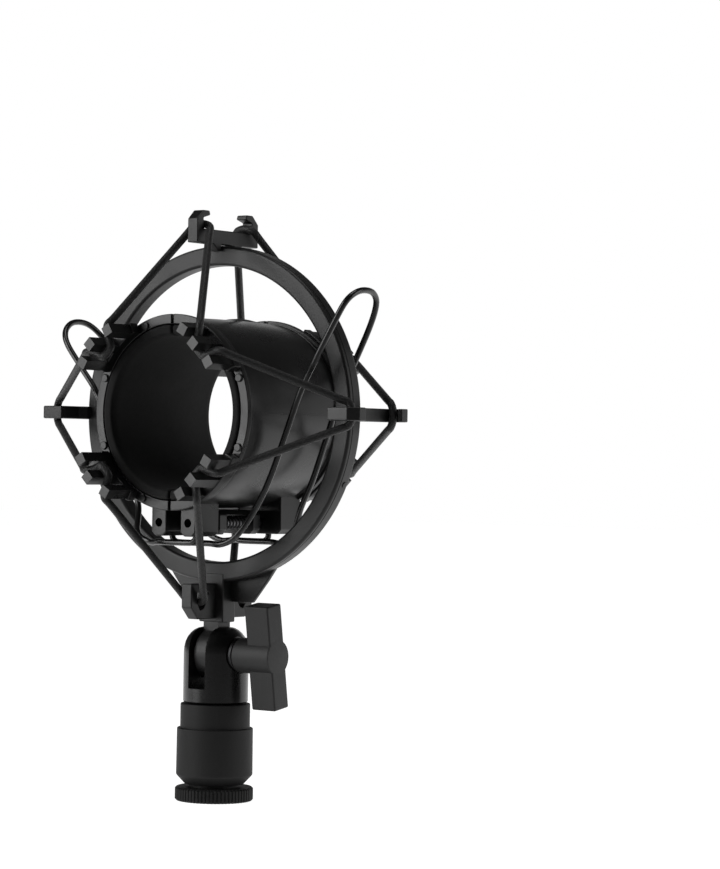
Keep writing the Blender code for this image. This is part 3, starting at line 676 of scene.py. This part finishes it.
def makeHookBars():
    w = hook["halfWidth"]
    outline = hook["half"] + [(-y, r) for y, r in reversed(hook["half"])]
    bar = layOutline("hookBarTop", [fromRing(-w, y, r) for y, r in outline])
    extrudePlate(bar, Vector((2 * w, 0, 0)))
    soften(bar, hook["edge"], 3, above=25)
    right = copyPiece(bar, "hookBarRight", turnAboutRing(-90))
    left = copyPiece(bar, "hookBarLeft", turnAboutRing(90))
    for piece, node in ((bar, "hook_bar_top"), (right, "hook_bar_right"), (left, "hook_bar_left")):
        finishPiece(piece, "head", "ring_plastic", ringPlastic, node)


makeRingFrame()
makeHookBars()
print("ring and hooks made")


# sleeve halves
sleeve = {"boreR": 25.6, "bodyR": 27.6, "crown": 0.25, "flangeR": 28.5, "halfLength": 23.0, "flange": 1.8,
          "halfGap": 0.35, "steps": 120, "edge": 0.28,
          "bossR": 26.9, "bossAngles": (68.4, 21.6, -21.6, -68.4), "lipX": -0.42, "lipThick": 1.1,
          "lip": [(1.5, 27.0), (1.5, 27.75), (5.0, 28.25), (9.5, 28.6), (13.5, 28.45), (17.5, 28.0),
                  (20.8, 27.55), (20.8, 27.0)]}
lug = {"x": 5.4, "inner": 2.65, "top": -26.2, "chamfer": 1.3, "edge": 0.35, "pinZ": -32.0, "pinHole": 1.3,
       "socket": 1.2, "socketZ": (-37.0, -33.5),
       "front": (-10.0, -21.0, 8.15, -35.9, -25.9), "rear": (13.0, 22.6, 13.2, -35.4, -23.2)}
lining = {"innerR": 22.2, "outerR": 25.3, "halfLength": 23.3, "edge": 0.9}


def sleeveProfile():
    low, body, end = sleeve["boreR"], sleeve["bodyR"], sleeve["halfLength"]
    inner = end - sleeve["flange"]
    crown = [(body + sleeve["crown"] * (1 - (y / 18.2) ** 2), y) for y in (-18.2, -12, -6, 0, 6, 12, 18.2)]
    near = [(low, -end), (sleeve["flangeR"], -end), (sleeve["flangeR"], -inner), (body - 0.3, -inner)]
    near.append((body - 0.22, -inner + 0.9))
    far = [(r, -y) for r, y in reversed(near)]
    return near + crown + far


def makeShell(place, hand, socketY):
    lap = math.degrees(math.asin(sleeve["halfGap"] / sleeve["bodyR"]))
    start = -90 + lap if hand > 0 else 90 + lap
    shell = layOutline("shell" + place, [around(r, start, y) for r, y in sleeveProfile()])
    spinOutline(shell, 180 - 2 * lap, sleeve["steps"], (0, 1, 0), fromRing(0, 0, 0))
    soften(shell, sleeve["edge"], 3, above=50)
    added = []
    for name, side in (("front", -1), ("rear", 1)):
        near, far, outer, bottom, outerTop = lug[name]
        c = lug["chamfer"]
        outline = [(lug["inner"], lug["top"]), (lug["inner"], bottom + c), (lug["inner"] + c, bottom),
                   (outer - c, bottom), (outer, bottom + c), (outer, outerTop)]
        ear = layOutline("lug", [fromRing(hand * x, near, z) for x, z in outline])
        extrudePlate(ear, Vector((0, far - near, 0)))
        soften(ear, lug["edge"], 3)
        carve(ear, roundBar("pinHole", fromRing(hand * lug["x"], near - side, lug["pinZ"]),
                            fromRing(hand * lug["x"], far + side, lug["pinZ"]), lug["pinHole"], 32),
              roundBar("wireSocket", fromRing(hand * lug["x"], side * socketY, lug["socketZ"][0]),
                       fromRing(hand * lug["x"], side * socketY, lug["socketZ"][1]), lug["socket"], 32))
        added.append(ear)
        for degrees in sleeve["bossAngles"]:
            middle = around(sleeve["bossR"], degrees if hand > 0 else 180 - degrees, 0)
            face = Vector((0, side * sleeve["halfLength"] * mm, 0))
            boss = roundBar("boss", middle + face - Vector((0, side * 0.5 * mm, 0)),
                            middle + face + Vector((0, side * 0.6 * mm, 0)), 1.2, 32)
            added.append(soften(boss, 0.25, 3))
    weld(shell, gather("shellExtras", added))
    low, high = sorted((hand * 27.45, hand * 29.0))
    carve(shell, block("seam", fromRing(low, -20.4, -0.15), fromRing(high, 20.4, 0.15)))
    if hand < 0:
        lip = layOutline("closingLip", [fromRing(sleeve["lipX"], y, z) for y, z in sleeve["lip"]])
        extrudePlate(lip, Vector((-sleeve["lipThick"], 0, 0)))
        soften(lip, 0.12, 2, above=60)
        weld(shell, lip)
    finishPiece(shell, "jaw_" + place.lower(), "sleeve_plastic", sleevePlastic, "shell_" + place.lower())


def makeLinings():
    lap = math.degrees(math.asin(sleeve["halfGap"] / lining["innerR"]))
    low, high, end = lining["innerR"], lining["outerR"], lining["halfLength"]
    profile = [(low + 0.5, -end + 0.2), (high - 0.3, -end - 0.2), (high, -end + 0.4), (high, end - 0.4),
               (high - 0.3, end + 0.2), (low + 0.5, end - 0.2), (low, end - 2.6), (low, -end + 2.6)]
    half = layOutline("liningRight", [around(r, -90 + lap, y) for r, y in profile])
    spinOutline(half, 180 - 2 * lap, 96, (0, 1, 0), fromRing(0, 0, 0))
    soften(half, lining["edge"] * 0.6, 3, above=35)
    other = copyPiece(half, "liningLeft", turnAboutRing(180))
    finishPiece(half, "jaw_right", "soft_lining", liningFoam, "lining_right")
    finishPiece(other, "jaw_left", "soft_lining", liningFoam, "lining_left")


# cord cleats on the sleeve's ends
cleat = {"innerR": 25.7, "outerR": 29.0, "halfAngle": 18.5, "backY": 23.3, "frontY": 26.4, "tipY": 37.2,
         "outerTipY": 35.6, "prong": 3.0, "prongR": 27.2, "spread": 14.0, "edge": 0.3}


def makeCleats():
    profile = [(cleat["innerR"], -cleat["backY"]), (cleat["outerR"], -cleat["backY"]),
               (cleat["outerR"], -cleat["frontY"]), (cleat["innerR"], -cleat["frontY"])]
    start = 45 - cleat["halfAngle"]
    base = layOutline("cleatFrontUpperRight", [around(r, start, y) for r, y in profile])
    spinOutline(base, 2 * cleat["halfAngle"], 24, (0, 1, 0), fromRing(0, 0, 0))
    soften(base, cleat["edge"], 3)
    p = cleat["prong"] / 2
    prongs = []
    for offset in (-cleat["spread"], 0, cleat["spread"]):
        tip = cleat["outerTipY"] if offset else cleat["tipY"]
        prong = block("prong", fromRing(cleat["prongR"] - p, -tip, -p),
                      fromRing(cleat["prongR"] + p, -cleat["frontY"] + 0.6, p))
        pickOnly(prong)
        bpy.ops.object.mode_set(mode="EDIT")
        bpy.ops.mesh.select_all(action="DESELECT")
        bpy.ops.mesh.select_mode(type="FACE")
        shape = bmesh.from_edit_mesh(prong.data)
        for face in shape.faces:
            face.select_set(face.normal.y < -0.9)
        bmesh.update_edit_mesh(prong.data)
        bpy.ops.mesh.inset(thickness=0.001 * mm, depth=0)
        bpy.ops.mesh.extrude_region_move(TRANSFORM_OT_translate={"value": (0, 0, 0)})
        bpy.ops.transform.resize(value=(0.93, 1, 0.93))
        tidyMesh(0.0005)
        bpy.ops.object.mode_set(mode="OBJECT")
        soften(prong, 0.3, 3, above=30)
        prong.data.transform(turnAboutRing(45 + offset))
        prongs.append(prong)
    weld(base, *prongs)
    flip = Matrix.Rotation(math.pi, 4, "Z")
    names = {"UpperRight": 0, "LowerRight": -90, "UpperLeft": 90, "LowerLeft": 180}
    made = []
    for label, turn in names.items():
        if turn:
            made.append((copyPiece(base, "cleatFront" + label, turnAboutRing(turn)), "front", label))
        rearLabel = label.replace("Right", "Hold").replace("Left", "Right").replace("Hold", "Left")
        made.append((copyPiece(base, "cleatRear" + rearLabel, flip @ turnAboutRing(turn)), "rear", rearLabel))
    made.append((base, "front", "UpperRight"))
    for piece, end, label in made:
        node = "cleat_" + end + "_" + ("upper" if "Upper" in label else "lower")
        hand = "right" if "Right" in label else "left"
        finishPiece(piece, "jaw_" + hand, "sleeve_plastic", sleevePlastic, node + "_" + hand)


makeShell("Right", 1, 17.2)
makeShell("Left", -1, 14.6)
makeLinings()
makeCleats()
print("sleeve, linings and cleats made")


# hinge, springs and finger wires
hinge = {"halfX": 8.15, "top": -28.3, "bottom": -35.4, "shoulder": -29.6, "halfLength": 9.6, "pocket": 6.4,
         "pinR": 1.0, "pinEnd": 18.0, "edge": 0.3}
spring = {"coilR": 1.7, "wireR": 0.3, "turns": 7, "halfLength": 5.2}
wires = {"radius": 0.9,
         "foot": [(-5.4, 0, -34.2), (-5.4, 0, -36.4), (-4.3, 0, -37.5), (-2.0, 0, -37.8), (8.0, 0, -37.8),
                  (12.5, -0.6, -37.9), (17.6, -1.2, -35.2)],
         "right": [(22.3, 10.9, -27.2), (26.9, 10.4, -18.6), (31.8, 10.1, -6.5), (36.6, 9.8, 5.7),
                   (41.0, 9.6, 13.9), (47.4, 8.9, 25.4), (50.6, 7.5, 31.8), (52.0, 4.3, 34.7),
                   (52.4, 0.0, 35.5)],
         "left": [(21.9, 10.9, -27.0), (27.2, 10.4, -18.4), (33.4, 10.2, -6.5), (39.2, 10.0, 5.2),
                  (46.0, 9.9, 13.5), (51.8, 9.7, 20.4), (54.4, 8.0, 24.4), (55.6, 4.4, 27.1),
                  (55.9, 0.0, 27.9)]}


def makeHinge():
    x, top, bottom, shoulder = hinge["halfX"], hinge["top"], hinge["bottom"], hinge["shoulder"]
    outline = [(-x, bottom + 1.4), (-x + 1.4, bottom), (x - 1.4, bottom), (x, bottom + 1.4), (x, shoulder),
               (x - 2.2, top), (-x + 2.2, top), (-x, shoulder)]
    end = hinge["halfLength"]
    body = layOutline("hingeBlock", [fromRing(a, -end, b) for a, b in outline])
    extrudePlate(body, Vector((0, 2 * end, 0)))
    soften(body, hinge["edge"], 3, above=30)
    pocket = hinge["pocket"]
    carve(body, block("pocket", fromRing(-x - 1, -pocket, bottom - 1), fromRing(x + 1, pocket, top - 1.2)))
    for hand in (-1, 1):
        carve(body, roundBar("pinHole", fromRing(hand * lug["x"], -end - 1, lug["pinZ"]),
                             fromRing(hand * lug["x"], end + 1, lug["pinZ"]), lug["pinHole"], 32))
    finishPiece(body, "cradle", "sleeve_plastic", sleevePlastic, "hinge_block")
    for place, hand in (("Right", 1), ("Left", -1)):
        pin = roundBar("hingePin" + place, fromRing(hand * lug["x"], -hinge["pinEnd"], lug["pinZ"]),
                       fromRing(hand * lug["x"], hinge["pinEnd"], lug["pinZ"]), hinge["pinR"], 32)
        soften(pin, 0.2, 2)
        finishPiece(pin, "cradle", "zinc_steel", zincPlate, "hinge_pin_" + place.lower())
        coil, half = spring["coilR"], spring["halfLength"]
        middle = Vector((hand * lug["x"], 0, lug["pinZ"]))
        path = [middle + Vector((-hand * 3.2, -half, coil)), middle + Vector((-hand * 1.2, -half, coil))]
        steps = spring["turns"] * 28
        for i in range(steps + 1):
            angle = math.pi / 2 - hand * math.tau * i * spring["turns"] / steps
            path.append(middle + Vector((coil * math.cos(angle), -half + 2 * half * i / steps,
                                         coil * math.sin(angle))))
        path += [middle + Vector((hand * 1.2, half, coil)), middle + Vector((hand * 2.6, half, coil))]
        coils = bendWire("torsionSpring" + place, [fromRing(*p) for p in path], spring["wireR"], 3)
        finishPiece(coils, "cradle", "spring_steel", springSteel, "torsion_spring_" + place.lower(),
                    evenFaces=False)


def makeFingerWire(place, hand, crossY):
    foot = [(x, crossY + y, z) for x, y, z in wires["foot"]]
    leg = foot + wires[place][:-1]
    front = [fromRing(hand * x, -y, z) for x, y, z in leg]
    rear = [fromRing(hand * x, y, z) for x, y, z in reversed(leg)]
    x, y, z = wires[place][-1]
    path = smoothPath(front + [fromRing(hand * x, y, z)] + rear, 0.8)
    wire = bendWire("fingerWire" + place.capitalize(), path, wires["radius"], 7)
    body = "jaw_left" if place == "right" else "jaw_right"
    finishPiece(wire, body, "coated_wire", wireCoating, "handle_wire_" + place, evenFaces=False)


makeHinge()
makeFingerWire("right", 1, 14.6)
makeFingerWire("left", -1, 17.2)
print("hinge and wires made")


# elastic loops: over the four ring hooks and round the middle prong of each cleat
cord = {"radius": 1.15, "sides": 18, "cleatY": 31.6, "step": 0.7,
        "hook": [(55.35, 43.8, 10.1), (54.45, 41.5, 10.45)],
        "bend": [(30.3, 10.3, 31.6), (27.3, 7.1, 31.6), (24.6, 5.0, 31.6)], "inner": 24.2}


def cordQuarter(start, side):
    def mirrored(radius, offset, y):
        angle = math.radians(offset)
        return Vector((radius * math.cos(angle), side * y, radius * math.sin(angle)))
    hooks = [mirrored(*p) for p in cord["hook"]]
    bends = [mirrored(*p) for p in cord["bend"]]
    half = hooks + [hooks[1].lerp(bends[0], share) for share in (0.1, 0.5, 0.9)] + bends
    whole = [Vector((p.x, p.y, -p.z)) for p in half]
    whole.append(Vector((cord["inner"], side * cord["cleatY"], 0)))
    whole += [p.copy() for p in reversed(half)]
    turn = Matrix.Rotation(math.radians(-(start + 45)), 3, "Y")
    return [turn @ p for p in whole]


def cordRings(path):
    count = len(path)
    ahead = [(path[(i + 1) % count] - path[i - 1]).normalized() for i in range(count)]
    side = ahead[0].orthogonal().normalized()
    sides = []
    for direction in ahead:  # the frame is carried along, so the braid doesn't twist
        side = (side - direction * side.dot(direction)).normalized()
        sides.append(side)
    carried = (side - ahead[0] * side.dot(ahead[0])).normalized()
    twist = math.atan2(carried.cross(sides[0]).dot(ahead[0]), carried.dot(sides[0]))
    rings = []
    for i, (point, direction) in enumerate(zip(path, ahead)):
        first = Matrix.Rotation(twist * i / count, 3, direction) @ sides[i]
        second = direction.cross(first)
        turns = [math.tau * k / cord["sides"] for k in range(cord["sides"])]
        rings.append([point + (first * math.cos(t) + second * math.sin(t)) * cord["radius"] * mm
                      for t in turns])
    return rings


def cordPiece(name, rings, lengths):
    count = cord["sides"]
    verts = [corner for row in rings for corner in row]
    faces = [tuple(reversed(range(count)))]
    faces.append(tuple((len(rings) - 1) * count + k for k in range(count)))
    flat = [[(0.5 + 0.5 * math.cos(math.tau * k / count), lengths[0]) for k in reversed(range(count))]]
    flat.append([(0.5 + 0.5 * math.cos(math.tau * k / count), lengths[-1]) for k in range(count)])
    for row in range(len(rings) - 1):
        for k in range(count):
            n = (k + 1) % count
            faces.append((row * count + k, row * count + n, (row + 1) * count + n, (row + 1) * count + k))
            a, b = k / count, (k + 1) / count
            flat.append([(a, lengths[row]), (b, lengths[row]), (b, lengths[row + 1]), (a, lengths[row + 1])])
    mesh = bpy.data.meshes.new(name)
    mesh.from_pydata(verts, [], faces)
    layer = mesh.uv_layers.new(name="cordUv")
    for face, corners in zip(mesh.polygons, flat):
        for loop, uv in zip(face.loop_indices, corners):
            layer.data[loop].uv = uv
    piece = bpy.data.objects.new(name, mesh)
    bpy.context.scene.collection.objects.link(piece)
    pickOnly(piece)
    bpy.ops.object.mode_set(mode="EDIT")
    bpy.ops.mesh.select_all(action="SELECT")
    bpy.ops.mesh.normals_make_consistent(inside=False)
    bpy.ops.object.mode_set(mode="OBJECT")
    return piece


def makeElastic(place, side):
    points, middles = [], []
    for start in (90, 0, -90, -180):
        quarter = list(reversed(cordQuarter(start, side)))
        middles += [len(points) + 3, len(points) + 13]  # the middles of the two spans
        points += quarter
    first = middles[0]
    points = points[first:] + points[:first]  # the loop starts in the middle of a span
    cuts = [(m - first) % len(points) for m in middles]
    knots = [fromRing(*p) for p in points]
    path, marks = [], []
    for i in range(len(knots)):
        if i in cuts:
            marks.append(len(path))
        a, b, c, d = (knots[(i + k) % len(knots)] for k in (-1, 0, 1, 2))
        path += curveSpan(a, b, c, d, max(2, round((c - b).length / (cord["step"] * mm))))
    rings = cordRings(path)
    lengths = [0.0]
    for i in range(len(path)):
        lengths.append(lengths[-1] + (path[(i + 1) % len(path)] - path[i]).length / mm)
    print("elastic", place, "loop length", round(lengths[-1], 1), "mm")
    rings.append(rings[0])
    path.append(path[0])
    marks.append(len(path) - 1)
    groups = {"Hooks": [], "Right": [], "Left": []}
    for a, b in zip(marks, marks[1:]):
        part = cordPiece("elasticPart", rings[a:b + 1], lengths[a:b + 1])
        inmost = min(path[a:b + 1], key=lambda p: (p - fromRing(0, p.y / mm, 0)).length)
        reach = (inmost - fromRing(0, inmost.y / mm, 0)).length / mm
        key = "Hooks" if reach > 30 else "Right" if inmost.x > 0 else "Left"
        groups[key].append(part)
    for key, parts in groups.items():
        piece = gather("elastic" + place + key, parts)
        nodes = ["elastic_" + place.lower()] if key == "Hooks" else []
        finishPiece(piece, None, "elastic_cord", elasticCord, *nodes, smooth=40, evenFaces=False)
        if key == "Hooks":
            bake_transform(piece)
        else:
            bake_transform(piece)


makeElastic("Front", -1)
makeElastic("Rear", 1)
print("elastics made")


# swivel: yoke, barrel, adapter, bolt, washer and lever
yoke = {"slotHalf": 3.1, "slotFloor": 33.2, "boltHole": 2.3, "nutSeatR": 4.2, "washerSeatR": 5.4, "edge": 0.3,
        "profile": [(0, 28.9), (9.2, 28.9), (9.6, 29.3), (9.6, 43.4), (9.48, 45.2), (9.1, 46.8), (8.45, 48.2),
                    (7.6, 49.3), (6.6, 50.2), (5.4, 50.8), (3.8, 51.15), (0, 51.2)]}
barrel = {"profile": [(0, 28.6), (9.95, 28.6), (10.2, 28.5), (10.3, 28.25), (10.3, 21.75), (10.36, 21.5),
                      (10.5, 21.4), (11.0, 21.4), (11.16, 21.3), (11.22, 21.1), (11.3, 7.9), (11.22, 7.55),
                      (11.0, 7.3), (8.9, 5.05), (8.6, 4.9), (8.3, 4.9), (8.1, 5.1), (8.1, 16.4), (0, 16.4)]}
adapter = {"flangeR": 11.55, "flange": 4.0, "edge": 0.45, "ribs": 64, "ribDepth": 0.32, "bodyR": 7.5,
           "top": 15.0, "boreR": 4.76}
bolt = {"start": -8.0, "end": 20.2, "radius": 2.0, "headStart": -9.6, "headEnd": -7.7, "headR": 3.8}
washer = {"holeR": 2.4, "rimR": 5.0, "inner": 8.2, "outer": 9.3}
lever = {"tilt": 8.6, "hubR": 5.2, "hubStart": 9.6, "hubEnd": 23.1, "paddleX": (14.4, 23.0),
         "halfDepth": 3.35, "halfHeight": 15.4, "edge": 0.55}


def makeYoke():
    body = layOutline("yokeBody", [fromFoot(r, 0, z) for r, z in yoke["profile"]], filled=False)
    spinOutline(body, 360, 128, (0, 0, 1), Vector((0, 0, 0)), onAxis=True)
    s = yoke["slotHalf"]
    carve(body, block("slot", fromFoot(-s, -12, yoke["slotFloor"]), fromFoot(s, 12, 60)))
    soften(body, yoke["edge"], 3, above=45)
    carve(body, roundBar("boltHole", fromPivot(-12, 0, 0), fromPivot(12, 0, 0), yoke["boltHole"], 48),
          roundBar("nutSeat", fromPivot(-12, 0, 0), fromPivot(-7.4, 0, 0), yoke["nutSeatR"], 48),
          roundBar("washerSeat", fromPivot(7.9, 0, 0), fromPivot(12, 0, 0), yoke["washerSeatR"], 64))
    finishPiece(body, "socket", "swivel_plastic", swivelPlastic, "yoke")


def makeBarrel():
    body = layOutline("socketBarrel", [fromFoot(r, 0, z) for r, z in barrel["profile"]], filled=False)
    spinOutline(body, 360, 128, (0, 0, 1), Vector((0, 0, 0)), onAxis=True)
    finishPiece(body, "socket", "swivel_plastic", barrelPlastic, "socket_barrel")


def makeAdapter():
    r, depth, ribs, edge = (adapter[key] for key in ("flangeR", "ribDepth", "ribs", "edge"))
    shares = ((0.0, 0.0), (0.28, 0.0), (0.5, 0.12), (0.62, 0.85), (0.68, 1.0), (0.82, 1.0), (0.88, 0.85))
    outline = []
    for i in range(ribs):
        for share, sink in shares:
            angle = math.tau * (i + share) / ribs
            radius = r - depth * sink
            outline.append(fromFoot(radius * math.cos(angle), radius * math.sin(angle), 0))
    foot = layOutline("threadAdapter", outline)
    pickOnly(foot)
    bpy.ops.object.mode_set(mode="EDIT")
    bpy.ops.mesh.select_all(action="SELECT")
    narrow = (r - edge) / r
    bpy.ops.transform.resize(value=(narrow, narrow, 1), center_override=(0, 0, 0))
    for rise, spread in ((edge, 1 / narrow), (adapter["flange"] - 2 * edge, 1), (edge, narrow)):
        bpy.ops.mesh.extrude_region_move(TRANSFORM_OT_translate={"value": Vector((0, 0, rise)) * mm})
        bpy.ops.transform.resize(value=(spread, spread, 1), center_override=(0, 0, 0))
    tidyMesh()
    bpy.ops.object.mode_set(mode="OBJECT")
    stem = roundBar("stem", fromFoot(0, 0, adapter["flange"] - 0.5), fromFoot(0, 0, adapter["top"]),
                    adapter["bodyR"], 96)
    soften(stem, 0.6, 2)
    weld(foot, stem)
    b = adapter["boreR"]
    bore = [(0, -1.0), (b + 1.0, -1.0), (b + 0.9, 0.0), (b, 0.95), (b, 17.0), (0, 17.0)]
    hole = layOutline("bore", [fromFoot(radius, 0, z) for radius, z in bore], filled=False)
    spinOutline(hole, 360, 96, (0, 0, 1), Vector((0, 0, 0)), onAxis=True)
    carve(foot, hole)
    finishPiece(foot, "adapter", "adapter_plastic", adapterPlastic, "thread_adapter")


def makeBoltAndWasher():
    shaft = roundBar("clampBolt", fromPivot(bolt["start"], 0, 0), fromPivot(bolt["end"], 0, 0),
                     bolt["radius"], 40)
    soften(shaft, 0.3, 2)
    head = roundBar("boltHead", fromPivot(bolt["headStart"], 0, 0), fromPivot(bolt["headEnd"], 0, 0),
                    bolt["headR"], 6)
    soften(head, 0.25, 2)
    weld(shaft, head)
    finishPiece(shaft, "socket", "zinc_steel", zincPlate, "clamp_bolt")
    hole, rim, inner, outer = (washer[key] for key in ("holeR", "rimR", "inner", "outer"))
    profile = [(hole, inner), (rim, inner), (rim, outer), (hole, outer)]
    disc = layOutline("hubWasher", [fromPivot(x, 0, r) for r, x in profile], filled=False)
    spinOutline(disc, 360, 72, (1, 0, 0), fromPivot(0, 0, 0))
    soften(disc, 0.15, 2)
    finishPiece(disc, "socket", "spring_steel", springSteel, "hub_washer")


def makeLever():
    a, b, r = lever["hubStart"], lever["hubEnd"], lever["hubR"]
    profile = [(0, a), (r - 0.35, a), (r - 0.1, a + 0.1), (r, a + 0.4), (r, b - 0.5), (r - 0.12, b - 0.15),
               (r - 0.4, b), (0, b)]
    body = layOutline("clampLever", [fromPivot(x, 0, radius) for radius, x in profile], filled=False)
    spinOutline(body, 360, 96, (1, 0, 0), fromPivot(0, 0, 0), onAxis=True)
    x0, x1 = lever["paddleX"]
    d, h = lever["halfDepth"], lever["halfHeight"]
    paddle = block("paddle", fromPivot(x0, -d, -h), fromPivot(x1, d, h))
    soften(paddle, lever["edge"], 4)
    place = Matrix.Translation((0, 0, pivotZ))
    paddle.data.transform(place @ Matrix.Rotation(math.radians(lever["tilt"]), 4, "X") @ place.inverted())
    weld(body, paddle)
    carve(body, roundBar("insertHole", fromPivot(9, 0, 0), fromPivot(21.4, 0, 0), 3.3, 48))
    finishPiece(body, "lever", "lever_plastic", leverPlastic, "clamp_lever")
    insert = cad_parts["lever_insert"]
    insert.data.materials.clear()
    insert.data.materials.append(brassMetal)


makeYoke()
makeBarrel()
makeAdapter()
makeBoltAndWasher()
makeLever()
print("swivel made")
